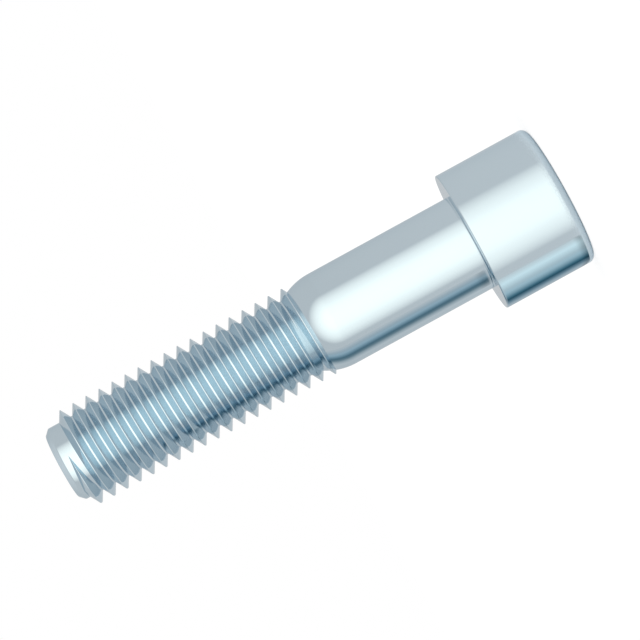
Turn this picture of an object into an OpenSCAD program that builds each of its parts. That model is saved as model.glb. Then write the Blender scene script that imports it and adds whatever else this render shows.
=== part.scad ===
// Socket head cap screw, metric coarse thread, partly threaded
// It stands on its head: the socket face is on z = 0 and the tip points to +Z

/* [Head] */
// Diameter of the head
head_d = 17.75; // [16.5:0.05:20]
// Height of the head, from the socket face to the bearing face
head_h = 12; // [10:0.1:14]
// Radius of the rounded edge round the socket face
head_round = 0.85; // [0.3:0.05:1.2]
// Radius of the rounded edge round the bearing face
rim_round = 0.15; // [0.1:0.05:0.5]

/* [Socket] */
// Width of the hexagon socket across its flats
socket_af = 10; // [8:0.1:11]
// Depth of the hexagon, down to where the cone of its floor begins
socket_depth = 6; // [4:0.1:6.5]
// How far the socket's countersunk mouth reaches past the hexagon's corners
mouth_margin = 0.2; // [0.1:0.05:0.5]
// Included angle of the countersink at the mouth
mouth_angle = 120; // [90:5:130]
// Height of the shallow cone in the socket's floor
floor_cone_h = 1.2; // [0.5:0.1:2]

/* [Shank] */
// Length of the screw under the head
screw_len = 55; // [45:1:90]
// Diameter of the plain shank
shank_d = 12; // [11.8:0.05:13]
// Length of the plain shank, from the bearing face to the rounded shoulder
plain_len = 18.7; // [10:0.1:30]
// Radius of the fillet between shank and head
fillet_r = 0.6; // [0.3:0.05:1]
// Radius of the rounded shoulder that runs from the shank into the thread
shoulder_r = 7.5; // [6.5:0.1:12]

/* [Thread] */
// Diameter over the thread's crests
crest_d = 11.95; // [11.5:0.01:12]
// Pitch of the thread
pitch = 1.75; // [1.25:0.05:2]
// Included angle of the thread's flanks
flank_angle = 60; // [55:1:65]
// Width of the flat on the crests
crest_flat = 0.1; // [0.1:0.01:0.25]
// Width of the flat in the roots
root_flat = 0.2; // [0.1:0.01:0.25]
// Distance from the tip to the point where the thread rises from the pilot
thread_start = 1.54; // [1.3:0.01:3]
// Turn over which the thread rises to its full height, in degrees
lead_in_turn = 65; // [60:5:180]
// Distance from the end of the thread to the plain shank
run_out = 1.9; // [1.7:0.05:3]
// Turn over which the thread sinks into the shoulder, in degrees
run_out_turn = 150; // [90:5:180]

/* [Tip] */
// Chamfer at the end of the pilot
tip_chamfer = 0.66; // [0.4:0.02:0.9]

/* [Hidden] */

// Steps that a turn of the thread is drawn with
steps = 40;
// Where round the axis the thread begins, in degrees from +X
start_angle = 283;
// Share of its height that the thread still has where it ends inside the shoulder
buried_height = 0.5;
// Least share of its height, at the very start of the thread
least_height = 0.03;
// How far the threaded core stands outside the pilot, so that no two walls coincide
core_proud = 0.01;
// How far one shape reaches into the next
overlap = 0.3;
round_fn = 96;

total_h = head_h + screw_len;
head_r = head_d / 2;
shank_r = shank_d / 2;
shank_end = head_h + plain_len;

crest_r = crest_d / 2;
thread_depth = (pitch - crest_flat - root_flat) / (2 * tan(flank_angle / 2));
root_r = crest_r - thread_depth;
// The core is a prism, and its flats lie just outside the pilot's round wall
core_r = (root_r + core_proud) / cos(180 / steps);
ridge_h = crest_r - core_r;

core_top = total_h - tip_chamfer - overlap;
thread_top = total_h - thread_start;
thread_end = shank_end + run_out;
last = floor((thread_top - thread_end) / pitch * steps);

// Height of the shoulder's arc where it has come down to a radius
function shoulder_at(r) = sqrt(pow(shoulder_r, 2) - pow(shoulder_r - shank_r + r, 2));

// Share of the full height that the thread has at a step, with its rise and its run-out
function height_share(step) =
    let (turned = step * 360 / steps, left = (last - step) * 360 / steps)
    min(1,
        max(least_height, turned / lead_in_turn),
        buried_height + (1 - buried_height) * left / run_out_turn);

// A point of the thread: its corner k is 0 or 3 at the foot of a flank, 1 or 2 on the crest
function thread_point(step, k) =
    let (share = height_share(step),
         foot = crest_flat / 2 + ridge_h * tan(flank_angle / 2),
         angle = start_angle - step * 360 / steps,
         centre = thread_top - step * pitch / steps,
         r = (k == 1 || k == 2) ? core_r + ridge_h * share : core_r,
         half = ((k == 1 || k == 2) ? crest_flat / 2 : foot) * share,
         z = (k < 2) ? centre + half : centre - half)
    [r * cos(angle), r * sin(angle), z];

function core_point(step, z) =
    let (angle = start_angle - step * 360 / steps)
    [core_r * cos(angle), core_r * sin(angle), z];

// What a rounded edge takes off a square corner, about the centre of its rounding
module edge_waste(radius) {
    difference() {
        translate([0, -radius - overlap])
            square(radius + overlap);
        circle(r = radius, $fn = round_fn);
    }
}

// Head in half section, with its two outer edges rounded
module head_section() {
    difference() {
        square([head_r, head_h]);
        translate([head_r - head_round, head_round])
            edge_waste(head_round);
        translate([head_r - rim_round, head_h - rim_round])
            mirror([0, 1])
                edge_waste(rim_round);
    }
}

// Head, shank and shoulder in half section
module body_section() {
    difference() {
        union() {
            head_section();
            translate([0, head_h - overlap])
                square([shank_r, plain_len + overlap]);
            translate([0, head_h - overlap])
                square([shank_r + fillet_r, fillet_r + overlap]);
        }
        translate([shank_r + fillet_r, head_h + fillet_r])
            circle(r = fillet_r, $fn = round_fn);
    }
    intersection() {
        translate([shank_r - shoulder_r, shank_end])
            circle(r = shoulder_r, $fn = round_fn);
        translate([0, shank_end - overlap])
            square([shank_r, shoulder_at(root_r - overlap) + overlap]);
    }
}

// Hexagon socket with a countersunk mouth and a shallow cone in its floor
module socket() {
    corner_r = socket_af / 2 / cos(30);
    mouth_r = corner_r + mouth_margin;
    translate([0, 0, -overlap])
        cylinder(h = socket_depth + overlap, r = corner_r, $fn = 6);
    cylinder(h = mouth_r / tan(mouth_angle / 2), r1 = mouth_r, r2 = 0, $fn = round_fn);
    translate([0, 0, socket_depth])
        cylinder(h = floor_cone_h, r1 = socket_af / 2, r2 = 0, $fn = round_fn);
}

// Chamfered plain pilot at the tip, which reaches a little way into the threaded core
module pilot() {
    rotate_extrude($fn = round_fn)
        polygon([
            [0, core_top - 2 * overlap],
            [root_r, core_top - 2 * overlap],
            [root_r, total_h - tip_chamfer],
            [root_r - tip_chamfer, total_h],
            [0, total_h]
        ]);
}

// Core with its right-hand thread, as one closed skin that follows the helix
module threaded_core() {
    thread = [for (i = [0:last]) for (k = [0:3]) thread_point(i, k)];
    tip_ring = [for (j = [0:steps - 1]) core_point(j, core_top)];
    buried_ring = [for (j = [0:steps - 1]) core_point(j, shank_end)];
    tip_at = len(thread);
    buried_at = tip_at + steps;

    function p(i, k) = 4 * i + k;
    function tip(i) = tip_at + (i % steps);
    function buried(i) = buried_at + (i % steps);

    ridge = [for (i = [0:last - 1]) for (k = [0:2])
        [p(i, k), p(i, k + 1), p(i + 1, k + 1), p(i + 1, k)]];
    root = [for (i = [0:last - steps - 1])
        [p(i, 3), p(i + steps, 0), p(i + 1 + steps, 0), p(i + 1, 3)]];
    tip_wall = [for (i = [0:steps - 2]) [tip(i), p(i, 0), p(i + 1, 0), tip(i + 1)]];
    buried_wall = [for (i = [last - steps + 1:last - 1])
        [p(i, 3), buried(i), buried(i + 1), p(i + 1, 3)]];
    ends = [
        [p(0, 3), p(0, 2), p(0, 1), p(0, 0)],
        [p(last, 0), p(last, 1), p(last, 2), p(last, 3)],
        [tip(steps - 1), p(steps - 1, 0), p(steps, 0), p(0, 3), p(0, 0), tip(0)],
        [buried(last + 1), p(last - steps + 1, 3), p(last - steps, 3), p(last, 0),
         p(last, 3), buried(last)],
        [for (j = [0:steps - 1]) tip_at + j],
        [for (j = [steps - 1:-1:0]) buried_at + j]
    ];
    polyhedron(points = concat(thread, tip_ring, buried_ring),
               faces = concat(ridge, root, tip_wall, buried_wall, ends));
}

module cap_screw() {
    color("lightsteelblue") {
        difference() {
            rotate_extrude($fn = round_fn) body_section();
            socket();
        }
        threaded_core();
        pilot();
    }
}

cap_screw();
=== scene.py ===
"""A socket head cap screw, M12 by 55, in bright zinc-plated steel, with its studio.

It stands on its head, with the socket face on the floor and the tip up. Lengths are in metres.
"""

import math

import bmesh
import bpy
from bpy.props import FloatProperty, FloatVectorProperty, IntProperty, PointerProperty
from mathutils import Matrix, Vector


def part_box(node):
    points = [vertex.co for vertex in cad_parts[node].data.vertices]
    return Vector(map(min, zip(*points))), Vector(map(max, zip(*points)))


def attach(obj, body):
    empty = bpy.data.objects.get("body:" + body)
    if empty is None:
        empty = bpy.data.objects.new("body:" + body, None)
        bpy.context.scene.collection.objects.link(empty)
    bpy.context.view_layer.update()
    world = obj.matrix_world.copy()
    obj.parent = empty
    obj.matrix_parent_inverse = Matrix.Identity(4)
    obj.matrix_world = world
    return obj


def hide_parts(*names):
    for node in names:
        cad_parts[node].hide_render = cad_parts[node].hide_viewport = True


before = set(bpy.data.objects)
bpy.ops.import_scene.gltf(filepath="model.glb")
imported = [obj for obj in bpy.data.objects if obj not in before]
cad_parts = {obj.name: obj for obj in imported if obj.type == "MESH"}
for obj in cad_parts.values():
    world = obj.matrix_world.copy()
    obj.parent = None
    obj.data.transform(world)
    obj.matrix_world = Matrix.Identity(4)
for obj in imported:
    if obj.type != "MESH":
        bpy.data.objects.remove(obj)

bl_info = {
    "name": "Socket head cap screw",
    "version": (1, 0, 0),
    "blender": (4, 5, 0),
    "location": "3D View > Sidebar > Cap screw",
    "description": "Models a zinc-plated socket head cap screw and the studio that it stands in",
    "category": "Object",
}

NODE = "cap_screw"
MM = 0.001
# Heights that differ by less than this are the same
NEAR = 0.002 * MM
# Corners that lie closer than this are joined
WELD = 0.1 * NEAR
# Bends above this stay sharp: those beside the crests, of 15 degrees or more, but not those
# within an arc
SMOOTH_BEND = math.radians(12)
CAD_LOW, CAD_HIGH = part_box(NODE)
CAD_HEIGHT = CAD_HIGH.z - CAD_LOW.z
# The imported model's facets make its box a hair narrower than the head's true circle
CAD_HEAD = min(CAD_HIGH.x - CAD_LOW.x, CAD_HIGH.y - CAD_LOW.y)


def linear(code):
    """An sRGB hex colour, such as "CEDDE5", as linear red, green and blue."""
    channels = [int(code[i:i + 2], 16) / 255 for i in (0, 2, 4)]
    return [c / 12.92 if c <= 0.04045 else ((c + 0.055) / 1.055) ** 2.4 for c in channels]


def length(name, description, default):
    """A size that the user can change."""
    return FloatProperty(name=name, description=description, default=default,
                         min=0, unit="LENGTH", precision=5)


def angle(name, description, degrees):
    """An angle that the user can change."""
    return FloatProperty(name=name, description=description,
                         default=math.radians(degrees), unit="ROTATION")


def colour(name, description, code):
    """A colour that the user can change, from its sRGB hex value."""
    return FloatVectorProperty(name=name, description=description, size=3,
                               subtype="COLOR", min=0, max=1, default=linear(code))


def level(name, description, default):
    """A plain factor that the user can change."""
    return FloatProperty(name=name, description=description, default=default, min=0)


class HeadSizes(bpy.types.PropertyGroup):
    diameter: length("Diameter", "Diameter of the head", CAD_HEAD)
    height: length("Height", "From the socket face to the bearing face", 12 * MM)
    edge: length("Edge", "Radius of the rounded edge round the socket face", 0.85 * MM)
    rim: length("Rim", "Radius of the rounded edge round the bearing face", 0.15 * MM)


class SocketSizes(bpy.types.PropertyGroup):
    across_flats: length("Across flats", "Width of the hexagon", 10 * MM)
    depth: length("Depth", "Depth of the hexagon", 6 * MM)
    mouth_margin: length("Mouth margin", "How far the countersink passes the corners", 0.2 * MM)
    mouth_angle: angle("Mouth angle", "Included angle of the countersink", 120)
    floor_cone: length("Floor cone", "Height of the shallow cone in the floor", 1.2 * MM)


class ShankSizes(bpy.types.PropertyGroup):
    diameter: length("Diameter", "Diameter of the plain shank", 12 * MM)
    plain: length("Plain length", "From the bearing face to the rounded shoulder", 18.7 * MM)
    fillet: length("Fillet", "Radius between shank and head", 0.15 * MM)
    shoulder: length("Shoulder", "Radius that runs from the shank into the thread", 7.5 * MM)
    tip_chamfer: length("Tip chamfer", "Chamfer at the end of the pilot", 0.66 * MM)
    softening: length("Softening", "Rounding of the chamfer's two edges", 0.1 * MM)


class ThreadSizes(bpy.types.PropertyGroup):
    crest: length("Crest diameter", "Diameter over the crests", 11.95 * MM)
    pitch: length("Pitch", "Rise of one turn", 1.75 * MM)
    flanks: angle("Flanks", "Included angle of the flanks", 60)
    crest_flat: length("Crest flat", "Width of the flat on the crests", 0.1 * MM)
    root_flat: length("Root flat", "Width of the flat in the roots", 0.2 * MM)
    start: length("Start", "From the tip to the point where the thread rises", 1.54 * MM)
    start_angle: angle("Start angle", "Where round the axis the thread rises", 283)
    lead_in: angle("Lead-in", "Turn over which the thread rises to its height", 65)
    run_out: length("Run-out", "From the thread's last trace to the plain shank", 1.17 * MM)
    run_out_turn: angle("Run-out turn", "Turn over which the thread sinks away", 300)
    sides: IntProperty(name="Sides", description="Sides of every round form", default=144)


class FinishSettings(bpy.types.PropertyGroup):
    zinc: colour("Zinc", "Bright zinc with its clear blue passivation", "CEDDE5")
    zinc_thick: colour("Thick zinc", "The same film where it lies a little thicker", "CCDBE4")
    roughness: level("Roughness", "Roughness of the bright zinc", 0.09)
    roughness_spread: level("Roughness spread", "How much the roughness wanders", 0.05)
    grazing: colour("Grazing tint", "Share of light that zinc keeps at a grazing angle", "E8EEF2")


class StudioSettings(bpy.types.PropertyGroup):
    lens: FloatProperty(name="Lens", description="Focal length in millimetres", default=183.4)
    distance: length("Distance", "From the camera to the screw's axis", 385 * MM)
    eye: length("Eye height", "Height of the camera", 37.5 * MM)
    aim: length("Aim height", "Height of the point that it looks at", 32.05 * MM)
    aside: length("Aside", "How far camera and aim stand to the right", 0.53 * MM)
    roll: angle("Roll", "Turn about the view, which lays the screw across the picture", -118.77)
    surroundings: level("Surroundings", "Level of the pale grey studio in reflections", 0.68)
    softbox: level("Softbox", "Level of the soft light in reflections", 1.62)
    floor_size: length("Floor", "Side of the floor", 40)


def bare():
    """Object mode with nothing selected, so that an operator acts only on what comes next."""
    if bpy.context.object and bpy.context.object.mode != "OBJECT":
        bpy.ops.object.mode_set(mode="OBJECT")
    bpy.ops.object.select_all(action="DESELECT")


def choose(target):
    """Makes the target the active object and the only one selected."""
    bare()
    bpy.context.view_layer.objects.active = target
    target.select_set(True)


def edit():
    """Edit mode on the active object."""
    bpy.ops.object.mode_set(mode="EDIT")


def settle(name):
    """Leaves edit mode, puts the active object's place into its mesh and names it."""
    bpy.ops.object.mode_set(mode="OBJECT")
    bpy.ops.object.transform_apply(location=True, rotation=True, scale=True)
    made = bpy.context.object
    made.name = name
    made.data.name = name
    return made


def pick(kind, test):
    """In edit mode, selects the active mesh's verts, edges or faces that pass the test."""
    bpy.ops.mesh.select_mode(type={"verts": "VERT", "edges": "EDGE", "faces": "FACE"}[kind])
    bpy.ops.mesh.select_all(action="DESELECT")
    mesh = bmesh.from_edit_mesh(bpy.context.object.data)
    for part in getattr(mesh, kind):
        if test(part):
            part.select_set(True)
    mesh.select_flush_mode()
    bmesh.update_edit_mesh(bpy.context.object.data)


def grow(z, ratio):
    """Scales the selection about the screw's axis at the height z."""
    bpy.ops.transform.resize(value=(ratio, ratio, 1), center_override=(0, 0, z))


def apply(target, kind, **settings):
    """Adds a modifier to the target and applies it."""
    choose(target)
    modifier = target.modifiers.new(kind.title(), kind)
    for name, value in settings.items():
        setattr(modifier, name, value)
    bpy.ops.object.modifier_apply(modifier=modifier.name)


def combine(target, tool, operation):
    """Joins the tool to the target or cuts it out, and deletes the tool."""
    apply(target, "BOOLEAN", object=tool, operation=operation, solver="MANIFOLD")
    bpy.data.objects.remove(tool)


def arc(r, z, radius, first, last, count):
    """Stations (radius, height) along an arc about the point r, z, from one angle to another."""
    angles = [first + (last - first) * i / count for i in range(count + 1)]
    return [(r + radius * math.cos(a), z + radius * math.sin(a)) for a in angles]


def root_radius(thread):
    """Radius of the thread's roots, from its crests, flats and flanks."""
    depth = (thread.pitch - thread.crest_flat - thread.root_flat) / 2 / math.tan(thread.flanks / 2)
    return thread.crest / 2 - depth


def outline(head, shank, thread):
    """Half section of the turned form, from the socket face to the tip, as (radius, height)."""
    edge_steps = 10
    rim_steps = 8
    fillet_steps = 10
    shoulder_steps = 24
    head_r = head.diameter / 2
    shank_r = shank.diameter / 2
    root_r = root_radius(thread)
    shank_end = head.height + shank.plain
    fillet_r = shank_r + shank.fillet
    fillet_z = head.height + shank.fillet
    shoulder_r = shank_r - shank.shoulder
    sink = math.acos((root_r - shoulder_r) / shank.shoulder)
    return [
        *arc(head_r - head.edge, head.edge, head.edge, -math.pi / 2, 0, edge_steps),
        *arc(head_r - head.rim, head.height - head.rim, head.rim, 0, math.pi / 2, rim_steps),
        *arc(fillet_r, fillet_z, shank.fillet, 1.5 * math.pi, math.pi, fillet_steps),
        *arc(shoulder_r, shank_end, shank.shoulder, 0, sink, shoulder_steps),
        (root_r, CAD_HEIGHT - shank.tip_chamfer),
        (root_r - shank.tip_chamfer, CAD_HEIGHT),
    ]


def turn_blank(head, shank, thread):
    """The blank, drawn up from a disc ring by ring, with the edges of its tip softened."""
    stations = outline(head, shank, thread)
    r, z = stations[0]
    bare()
    bpy.ops.mesh.primitive_circle_add(vertices=thread.sides, radius=r, fill_type="NGON",
                                      location=(0, 0, z))
    edit()
    bpy.ops.mesh.select_all(action="SELECT")
    for next_r, next_z in stations[1:]:
        bpy.ops.mesh.extrude_region_move(TRANSFORM_OT_translate={"value": (0, 0, next_z - z)})
        grow(next_z, next_r / r)
        r, z = next_r, next_z
    bpy.ops.mesh.select_all(action="SELECT")
    bpy.ops.mesh.normals_make_consistent(inside=False)
    chamfer_heights = [height for _, height in stations[-2:]]

    def tip_edge(edge):
        a, b = (v.co for v in edge.verts)
        return abs(a.z - b.z) < NEAR and any(abs(a.z - height) < NEAR for height in chamfer_heights)

    pick("edges", tip_edge)
    bpy.ops.mesh.bevel(offset=shank.softening, segments=4, affect="EDGES")
    return settle(NODE + "_blank")


def ridge_share(thread, from_tip, from_end):
    """Share of its height that the ridge has, at an angle from its start and from its end."""
    return max(0.0, min(1.0, from_tip / thread.lead_in, from_end / thread.run_out_turn))


def roll_thread(head, shank, thread):
    """The ridge of the thread, as one closed solid that rises from the core and sinks into it."""
    buried = 0.06 * MM
    corner_bevel = 0.02 * MM
    inner_r = root_radius(thread) - buried
    outer_r = thread.crest / 2
    side = outer_r - inner_r
    shade_share = thread.crest_flat + 2 * side * math.tan(thread.flanks / 2)

    top = CAD_HEIGHT - thread.start
    bottom = head.height + shank.plain + thread.run_out
    step = 2 * math.pi / thread.sides
    steps = round((top - bottom) / thread.pitch * thread.sides)
    turned = steps * step
    bottom = top - turned / (2 * math.pi) * thread.pitch
    first = thread.start_angle - turned

    # The ridge's section starts as an upright square, with one side buried in the core
    middle = (inner_r + outer_r) / 2
    bare()
    bpy.ops.mesh.primitive_plane_add(size=side, rotation=(math.pi / 2, 0, first),
                                     location=(middle * math.cos(first),
                                               middle * math.sin(first), bottom))
    bpy.ops.object.transform_apply(location=True, rotation=True, scale=True)
    edit()
    for at_crest, width in ((False, shade_share), (True, thread.crest_flat)):
        pick("verts", lambda v: (v.co.xy.length > middle) == at_crest)
        bpy.ops.transform.resize(value=(1, 1, width / side), center_override=(0, 0, bottom))
    bpy.ops.mesh.bevel(offset=corner_bevel, segments=2, affect="VERTICES")
    bpy.ops.mesh.select_all(action="SELECT")
    bpy.ops.mesh.delete(type="ONLY_FACE")
    ridge = settle(NODE + "_ridge")
    apply(ridge, "SCREW", axis="Z", angle=turned, screw_offset=top - bottom,
          steps=steps, render_steps=steps, iterations=1, use_normal_calculate=True)

    # At both ends the ridge shrinks towards its own foot line, which lies inside the core, and
    # what is left of it there is thinner than the depth that it is buried by
    least_share = 0.5 * buried / side
    for vertex in ridge.data.vertices:
        r = vertex.co.xy.length
        around = (math.atan2(vertex.co.y, vertex.co.x) - first) % (2 * math.pi)
        turns = (vertex.co.z - bottom) / thread.pitch - around / (2 * math.pi)
        along = around + round(turns) * 2 * math.pi
        centre = bottom + along / (2 * math.pi) * thread.pitch
        share = max(least_share, ridge_share(thread, turned - along, along))
        new_r = inner_r + (r - inner_r) * share
        vertex.co.x *= new_r / r
        vertex.co.y *= new_r / r
        vertex.co.z = centre + (vertex.co.z - centre) * share

    edit()
    bpy.ops.mesh.select_all(action="DESELECT")
    bpy.ops.mesh.select_mode(type="EDGE")
    bpy.ops.mesh.select_non_manifold(extend=False)
    bpy.ops.mesh.fill_holes(sides=0)
    bpy.ops.mesh.select_all(action="SELECT")
    bpy.ops.mesh.normals_make_consistent(inside=False)
    return settle(ridge.name)


def socket_tools(socket, thread):
    """The punch and the two cones that cut the hexagon socket."""
    overlap = 0.3 * MM
    half_sector = math.radians(30)
    corner_r = socket.across_flats / 2 / math.cos(half_sector)
    mouth_r = corner_r + socket.mouth_margin
    slope = math.tan(socket.mouth_angle / 2)
    mouth_h = mouth_r / slope

    bare()
    bpy.ops.mesh.primitive_cylinder_add(vertices=6, radius=corner_r, depth=socket.depth + overlap,
                                        rotation=(0, 0, half_sector),
                                        location=(0, 0, (socket.depth - overlap) / 2))
    yield settle("punch")

    bare()
    bpy.ops.mesh.primitive_cone_add(vertices=thread.sides, radius1=mouth_r + overlap * slope,
                                    radius2=0, depth=mouth_h + overlap,
                                    location=(0, 0, (mouth_h - overlap) / 2))
    yield settle("mouth")

    cone_r = socket.across_flats / 2
    rise = socket.floor_cone
    faces_down = -0.9
    bare()
    bpy.ops.mesh.primitive_cone_add(vertices=thread.sides, radius1=cone_r, radius2=0,
                                    depth=rise, location=(0, 0, socket.depth + rise / 2))
    edit()
    pick("faces", lambda f: f.normal.z < faces_down)
    bpy.ops.mesh.extrude_region_move(TRANSFORM_OT_translate={"value": (0, 0, -overlap)})
    yield settle("floor_cone")


def add(tree, kind, settings=None, **inputs):
    """Adds a node. Inputs named a0, a1 and so on go by number, the others by the socket's name."""
    node = tree.nodes.new(kind)
    for name, value in (settings or {}).items():
        setattr(node, name, value)
    for name, value in inputs.items():
        numbered = name[0] == "a" and name[1:].isdigit()
        socket = node.inputs[int(name[1:]) if numbered else name.replace("_", " ")]
        if isinstance(value, bpy.types.NodeSocket):
            tree.links.new(value, socket)
        else:
            socket.default_value = value
    return node


def empty_tree(owner):
    """The node tree of a new material or world, emptied."""
    owner.use_nodes = True
    owner.node_tree.nodes.clear()
    return owner.node_tree


def ramp(tree, factor, stops):
    """A colour ramp through stops, each a position with a colour or with a list of one grey."""
    node = add(tree, "ShaderNodeValToRGB", Fac=factor)
    elements = node.color_ramp.elements
    while len(elements) < len(stops):
        elements.new(0)
    for element, (position, tint) in zip(elements, stops):
        element.position = position
        element.color = (*tint, 1) if len(tint) == 3 else (tint[0], tint[0], tint[0], 1)
    return node.outputs["Color"]


def zinc_plated_steel(finish):
    """Cold-forged steel under bright zinc with a clear blue passivation.

    The film is as smooth as a dull mirror and faintly blue. Very fine rings from the tools run
    round it, and its colour and gloss wander a little from place to place.
    """
    made = bpy.data.materials.new("zinc_plated_steel")
    tree = empty_tree(made)
    place = add(tree, "ShaderNodeTexCoord").outputs["Object"]

    # Patches of thicker and thinner film, about 6 mm across. The mix node's colours are its
    # inputs 6 and 7 and its output 2.
    patch_scale = 1 / (6 * MM)
    patches = add(tree, "ShaderNodeTexNoise", Vector=place, Scale=patch_scale, Detail=2.0)
    tint = add(tree, "ShaderNodeMix", {"data_type": "RGBA"}, a0=patches.outputs["Fac"],
               a6=(*finish.zinc, 1), a7=(*finish.zinc_thick, 1))

    # Crystals of the plating, 0.25 mm across, which is coarser than the real ones. Most of the
    # noise lies between the two levels named here.
    grain_scale = 1 / (0.25 * MM)
    noise_low = 0.3
    noise_high = 0.7
    half_spread = finish.roughness_spread / 2
    grain = add(tree, "ShaderNodeTexNoise", Vector=place, Scale=grain_scale, Detail=3.0)
    gloss = add(tree, "ShaderNodeMapRange", Value=grain.outputs["Fac"], From_Min=noise_low,
                From_Max=noise_high, To_Min=finish.roughness - half_spread,
                To_Max=finish.roughness + half_spread)

    # Rings left by the tools, about every 0.12 mm along the axis, which is coarser than the
    # real ones. They are noise that is drawn out round the screw.
    ring_scale = 1 / (0.12 * MM)
    ring_height = 0.01 * MM
    ring_strength = 0.03
    drawn_out = (0.02, 0.02, 1.0)
    stretch = add(tree, "ShaderNodeVectorMath", {"operation": "MULTIPLY"}, a0=place, a1=drawn_out)
    rings = add(tree, "ShaderNodeTexNoise", Vector=stretch.outputs[0], Scale=ring_scale,
                Detail=1.0)
    relief = add(tree, "ShaderNodeBump", Height=rings.outputs["Fac"], Strength=ring_strength,
                 Distance=ring_height)

    shader = add(tree, "ShaderNodeBsdfPrincipled", Base_Color=tint.outputs[2], Metallic=1.0,
                 Roughness=gloss.outputs[0], Normal=relief.outputs[0],
                 Specular_Tint=(*finish.grazing, 1))
    add(tree, "ShaderNodeOutputMaterial", Surface=shader.outputs[0])
    return made


class CAPSCREW_OT_screw(bpy.types.Operator):
    """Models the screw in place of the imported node"""
    bl_idname = "capscrew.screw"
    bl_label = "Cap screw"

    def execute(self, context):
        scene = context.scene
        head, shank, thread = scene.screw_head, scene.screw_shank, scene.screw_thread
        screw = turn_blank(head, shank, thread)
        combine(screw, roll_thread(head, shank, thread), "UNION")
        for tool in socket_tools(scene.screw_socket, thread):
            combine(screw, tool, "DIFFERENCE")

        choose(screw)
        edit()
        bpy.ops.mesh.select_all(action="SELECT")
        bpy.ops.mesh.remove_doubles(threshold=WELD)
        bpy.ops.mesh.normals_make_consistent(inside=False)
        screw = settle("socket_head_cap_screw")
        bpy.ops.object.shade_smooth_by_angle(angle=SMOOTH_BEND)
        apply(screw, "WEIGHTED_NORMAL", keep_sharp=True)

        screw.data.materials.clear()
        screw.data.materials.append(zinc_plated_steel(scene.screw_finish))
        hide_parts(NODE)
        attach(screw, "root")
        return {"FINISHED"}


def studio_world(studio):
    """A pale grey studio with one large soft light round the camera, as the metal sees it.

    The camera itself sees plain white, and the floor is lit evenly.
    """
    world = bpy.data.worlds.new("studio")
    bpy.context.scene.world = world
    tree = empty_tree(world)

    # Bearing from the camera's side, and height above the horizon, both in degrees
    place = add(tree, "ShaderNodeTexCoord").outputs["Generated"]
    axes = add(tree, "ShaderNodeSeparateXYZ", Vector=place).outputs
    west = add(tree, "ShaderNodeMath", {"operation": "MULTIPLY"}, a0=axes[0], a1=-1.0)
    south = add(tree, "ShaderNodeMath", {"operation": "MULTIPLY"}, a0=axes[1], a1=-1.0)
    bearing = add(tree, "ShaderNodeMath", {"operation": "ARCTAN2"}, a0=west.outputs[0],
                  a1=south.outputs[0])
    bearing = add(tree, "ShaderNodeMath", {"operation": "DEGREES"}, a0=bearing.outputs[0])
    height = add(tree, "ShaderNodeMath", {"operation": "ARCSINE"}, a0=axes[2])
    height = add(tree, "ShaderNodeMath", {"operation": "DEGREES"}, a0=height.outputs[0])

    # The soft light is an ellipse, with its reach to each side, and up and down, in degrees
    light_aside = 61.0
    light_up = 43.0
    across = add(tree, "ShaderNodeMath", {"operation": "DIVIDE"}, a0=bearing.outputs[0],
                 a1=light_aside)
    upward = add(tree, "ShaderNodeMath", {"operation": "DIVIDE"}, a0=height.outputs[0],
                 a1=light_up)
    spot = add(tree, "ShaderNodeCombineXYZ", X=across.outputs[0], Y=upward.outputs[0])
    reach = add(tree, "ShaderNodeVectorMath", {"operation": "LENGTH"}, a0=spot.outputs[0])
    glow = ramp(tree, reach.outputs["Value"], [
        (0.0, [1.0]), (0.35, [0.95]), (0.5, [0.82]), (0.7, [0.63]),
        (0.8, [0.47]), (0.9, [0.28]), (0.98, [0.08]), (1.0, [0.0])])

    # Just below the horizon it falls to a share of its level
    full_above = 1.0
    dim_below = -6.0
    dim_share = 0.79
    lower = add(tree, "ShaderNodeMapRange", Value=height.outputs[0], From_Min=dim_below,
                From_Max=full_above, To_Min=dim_share, To_Max=1.0)
    glow = add(tree, "ShaderNodeVectorMath", {"operation": "SCALE"}, a0=glow,
               Scale=lower.outputs[0]).outputs[0]

    # The surroundings, from straight below to straight above
    tall = add(tree, "ShaderNodeMapRange", Value=height.outputs[0], From_Min=-90.0, From_Max=90.0)
    grey = studio.surroundings
    walls = ramp(tree, tall.outputs[0], [
        (0.0, [grey * 1.1]), (0.46, [grey * 1.1]), (0.48, [grey * 1.06]), (0.5, [grey]),
        (0.7, [grey]), (1.0, [grey * 1.25])])

    # The soft light is a little warmer than the walls
    warmth = (1.0, 0.97, 0.85)
    light = [(studio.softbox - grey) * share for share in warmth]
    panel = add(tree, "ShaderNodeVectorMath", {"operation": "MULTIPLY_ADD"}, a0=glow, a1=light,
                a2=walls)

    floor_light = 0.9
    metal = add(tree, "ShaderNodeBackground", Color=panel.outputs[0], Strength=1.0)
    even = add(tree, "ShaderNodeBackground", Color=(1, 1, 1, 1), Strength=floor_light)
    white = add(tree, "ShaderNodeBackground", Color=(1, 1, 1, 1), Strength=1.0)
    path = add(tree, "ShaderNodeLightPath").outputs
    soft = add(tree, "ShaderNodeMixShader", Fac=path["Is Glossy Ray"], a1=even.outputs[0],
               a2=metal.outputs[0])
    seen = add(tree, "ShaderNodeMixShader", Fac=path["Is Camera Ray"], a1=soft.outputs[0],
               a2=white.outputs[0])
    add(tree, "ShaderNodeOutputWorld", Surface=seen.outputs[0])


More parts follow.
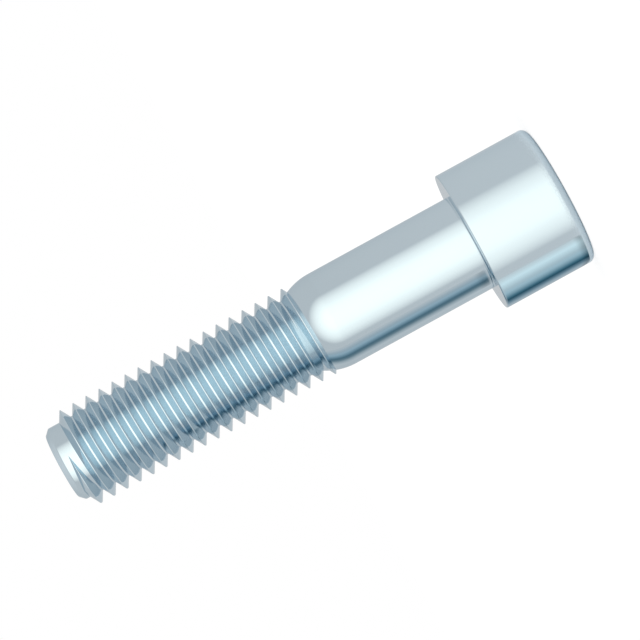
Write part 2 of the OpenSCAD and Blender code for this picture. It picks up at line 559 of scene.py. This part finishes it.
def fade(tree, value, low, high, soft):
    """A share that is 1 between low and high, and falls to 0 over the soft width inside them."""
    rise = add(tree, "ShaderNodeMapRange", {"interpolation_type": "SMOOTHSTEP"}, Value=value,
               From_Min=low, From_Max=low + soft)
    fall = add(tree, "ShaderNodeMapRange", {"interpolation_type": "SMOOTHSTEP"}, Value=value,
               From_Min=high, From_Max=high - soft)
    return add(tree, "ShaderNodeMath", {"operation": "MULTIPLY"}, a0=rise.outputs[0],
               a1=fall.outputs[0]).outputs[0]


def pale_floor(studio):
    """Matt white studio paper, which stays white in the picture and keeps a faint shadow.

    The metal mirrors only the part near the head.
    """
    made = bpy.data.materials.new("white_paper")
    tree = empty_tree(made)
    path = add(tree, "ShaderNodeLightPath").outputs
    place = add(tree, "ShaderNodeTexCoord").outputs["Object"]
    out = add(tree, "ShaderNodeVectorMath", {"operation": "LENGTH"}, a0=place).outputs["Value"]

    # As the metal mirrors it: bright paper out to this radius, fading over the soft width. A
    # distance is never negative, so the fade's lower end plays no part.
    mirrored_paper = (0.94, 0.94, 0.94, 1)
    mirrored_glow = 0.09
    mirrored_radius = 24 * MM
    soft_width = 12 * MM
    mirrored = add(tree, "ShaderNodeBsdfDiffuse", Color=mirrored_paper)
    glow = add(tree, "ShaderNodeEmission", Color=(1, 1, 1, 1), Strength=mirrored_glow)
    bright = add(tree, "ShaderNodeAddShader", a0=mirrored.outputs[0], a1=glow.outputs[0])
    clear = add(tree, "ShaderNodeBsdfTransparent")
    near = fade(tree, out, -1.0, mirrored_radius, soft_width)
    glossy = add(tree, "ShaderNodeMixShader", Fac=near, a1=clear.outputs[0],
                 a2=bright.outputs[0])

    # Plain paper for all other light. The camera sees paper whose white is mostly its own light,
    # so that the shadow stays faint.
    plain_paper = (0.8, 0.8, 0.8, 1)
    shadowed_paper = (0.3, 0.3, 0.3, 1)
    own_white = 0.78
    plain = add(tree, "ShaderNodeBsdfDiffuse", Color=plain_paper)
    unseen = add(tree, "ShaderNodeMixShader", Fac=path["Is Glossy Ray"], a1=plain.outputs[0],
                 a2=glossy.outputs[0])
    paper = add(tree, "ShaderNodeBsdfDiffuse", Color=shadowed_paper)
    lift = add(tree, "ShaderNodeEmission", Color=(1, 1, 1, 1), Strength=own_white)
    both = add(tree, "ShaderNodeAddShader", a0=paper.outputs[0], a1=lift.outputs[0])
    seen = add(tree, "ShaderNodeMixShader", Fac=path["Is Camera Ray"], a1=unseen.outputs[0],
               a2=both.outputs[0])
    add(tree, "ShaderNodeOutputMaterial", Surface=seen.outputs[0])

    bare()
    bpy.ops.mesh.primitive_plane_add(size=studio.floor_size)
    floor = settle("studio_floor")
    floor.data.materials.append(made)


# Side cards, whose colours are a painted reflection with a dark stripe of painted shadow: name,
# lowest and highest edge, level, the height below which painted shade dims them and the share of
# their level that is left there, and the colours from the camera's side to the back, by their
# distance behind the screw's axis. Sizes are in millimetres.
PAINTED_REFLECTION_CARDS = (
    ("head_card", 0.0, 11.7, 1.09, 1.3, 0.6, (
        (-9.2, "D4D6D6"), (-6.8, "EBFBFD"), (-4.6, "C1D0D5"), (-3.4, "B1C9D2"), (-1.4, "578090"),
        (-0.4, "285263"), (1.0, "6B8693"), (3.0, "A5B2B9"), (5.0, "BCC3C7"), (16.0, "C4C8CA"))),
    ("shank_card", 11.72, 54.5, 0.97, 13.4, 0.8, (
        (-7.6, "DCDCDC"), (-5.2, "B3C1C9"), (-4.1, "ACC3CF"), (-2.9, "86A2B0"),
        (-1.7, "567685"), (-0.5, "768D97"), (1.1, "B6BEC2"), (3.2, "DADBDC"))),
)


def painted_reflection_cards():
    """Cards close beside the screw, a painted reflection whose dark stripe is painted shadow that
    draws the line along its shaded side.

    The camera doesn't see them. The metal does, and they fade out at their edges.
    """
    aside = 12 * MM
    half = 20 * MM
    shade_width = 0.8
    side_fade = 0.6 * MM
    end_fade = 0.4 * MM
    for name, low, high, strength, shaded_to, shade_share, stops in PAINTED_REFLECTION_CARDS:
        made = bpy.data.materials.new(name)
        tree = empty_tree(made)
        place = add(tree, "ShaderNodeTexCoord").outputs["Object"]
        axes = add(tree, "ShaderNodeSeparateXYZ", Vector=place).outputs
        share = add(tree, "ShaderNodeMapRange", Value=axes[1], From_Min=-half, From_Max=half)
        # The card's colours are a painted reflection, and its dark stripe is painted shadow
        tint = ramp(tree, share.outputs[0],
                    [((y * MM + half) / (2 * half), linear(code)) for y, code in stops])
        # Painted shade: each card dims towards its lower edge, down to its share of its level
        shaded = add(tree, "ShaderNodeMapRange", Value=axes[2],
                     From_Min=(shaded_to - shade_width) * MM, From_Max=shaded_to * MM,
                     To_Min=shade_share * strength, To_Max=strength)
        glow = add(tree, "ShaderNodeEmission", Color=tint, Strength=shaded.outputs[0])
        clear = add(tree, "ShaderNodeBsdfTransparent")
        wide = fade(tree, axes[1], stops[0][0] * MM, stops[-1][0] * MM, side_fade)
        tall = fade(tree, axes[2], low * MM, high * MM, end_fade)
        both = add(tree, "ShaderNodeMath", {"operation": "MULTIPLY"}, a0=wide, a1=tall)
        card = add(tree, "ShaderNodeMixShader", Fac=both.outputs[0], a1=clear.outputs[0],
                   a2=glow.outputs[0])
        add(tree, "ShaderNodeOutputMaterial", Surface=card.outputs[0])

        bare()
        bpy.ops.mesh.primitive_plane_add(size=1, rotation=(0, math.pi / 2, 0),
                                         location=(-aside, 0, (low + high) / 2 * MM))
        bpy.context.object.scale = ((high - low) * MM, 2 * half, 1)
        plane = settle(name)
        plane.data.materials.append(made)
        plane.visible_camera = False
        plane.visible_diffuse = False
        plane.visible_shadow = False


def studio_camera(studio):
    """A long lens about level with the screw, rolled so that the screw lies across the picture."""
    eye = Vector((studio.aside, -studio.distance, studio.eye))
    aim = Vector((studio.aside, 0, studio.aim))
    turn = (aim - eye).to_track_quat("-Z", "Y").to_matrix().to_4x4()
    bare()
    bpy.ops.object.camera_add()
    camera = bpy.context.object
    camera.name = "studio_camera"
    camera.matrix_world = Matrix.Translation(eye) @ turn @ Matrix.Rotation(studio.roll, 4, "Z")
    camera.data.lens = studio.lens
    camera.data.clip_start = 10 * MM
    camera.data.clip_end = 100
    bpy.context.scene.camera = camera


class CAPSCREW_OT_studio(bpy.types.Operator):
    """Sets up the camera, the white floor, the soft light and the side cards of painted reflection
    """
    bl_idname = "capscrew.studio"
    bl_label = "Studio"

    def execute(self, context):
        studio = context.scene.screw_studio
        studio_camera(studio)
        studio_world(studio)
        pale_floor(studio)
        painted_reflection_cards()
        context.scene.view_settings.view_transform = "Standard"
        return {"FINISHED"}


GROUPS = {
    "screw_head": HeadSizes,
    "screw_socket": SocketSizes,
    "screw_shank": ShankSizes,
    "screw_thread": ThreadSizes,
    "screw_finish": FinishSettings,
    "screw_studio": StudioSettings,
}
OPERATORS = (CAPSCREW_OT_studio, CAPSCREW_OT_screw)


class CAPSCREW_PT_panel(bpy.types.Panel):
    """Sizes, finish and studio of the cap screw"""
    bl_idname = "CAPSCREW_PT_panel"
    bl_label = "Cap screw"
    bl_space_type = "VIEW_3D"
    bl_region_type = "UI"
    bl_category = "Cap screw"

    def draw(self, context):
        for operator in OPERATORS:
            self.layout.operator(operator.bl_idname)
        for name in GROUPS:
            box = self.layout.box()
            group = getattr(context.scene, name)
            for prop in group.bl_rna.properties:
                if not prop.is_readonly and prop.identifier != "name":
                    box.prop(group, prop.identifier)


def register():
    for made in (*GROUPS.values(), *OPERATORS, CAPSCREW_PT_panel):
        bpy.utils.register_class(made)
    for name, group in GROUPS.items():
        setattr(bpy.types.Scene, name, PointerProperty(type=group))


def unregister():
    for name in GROUPS:
        delattr(bpy.types.Scene, name)
    for made in reversed((*GROUPS.values(), *OPERATORS, CAPSCREW_PT_panel)):
        bpy.utils.unregister_class(made)


def main():
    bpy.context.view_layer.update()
    register()
    bpy.ops.capscrew.studio()
    bpy.ops.capscrew.screw()


if __name__ == "__main__":
    main()
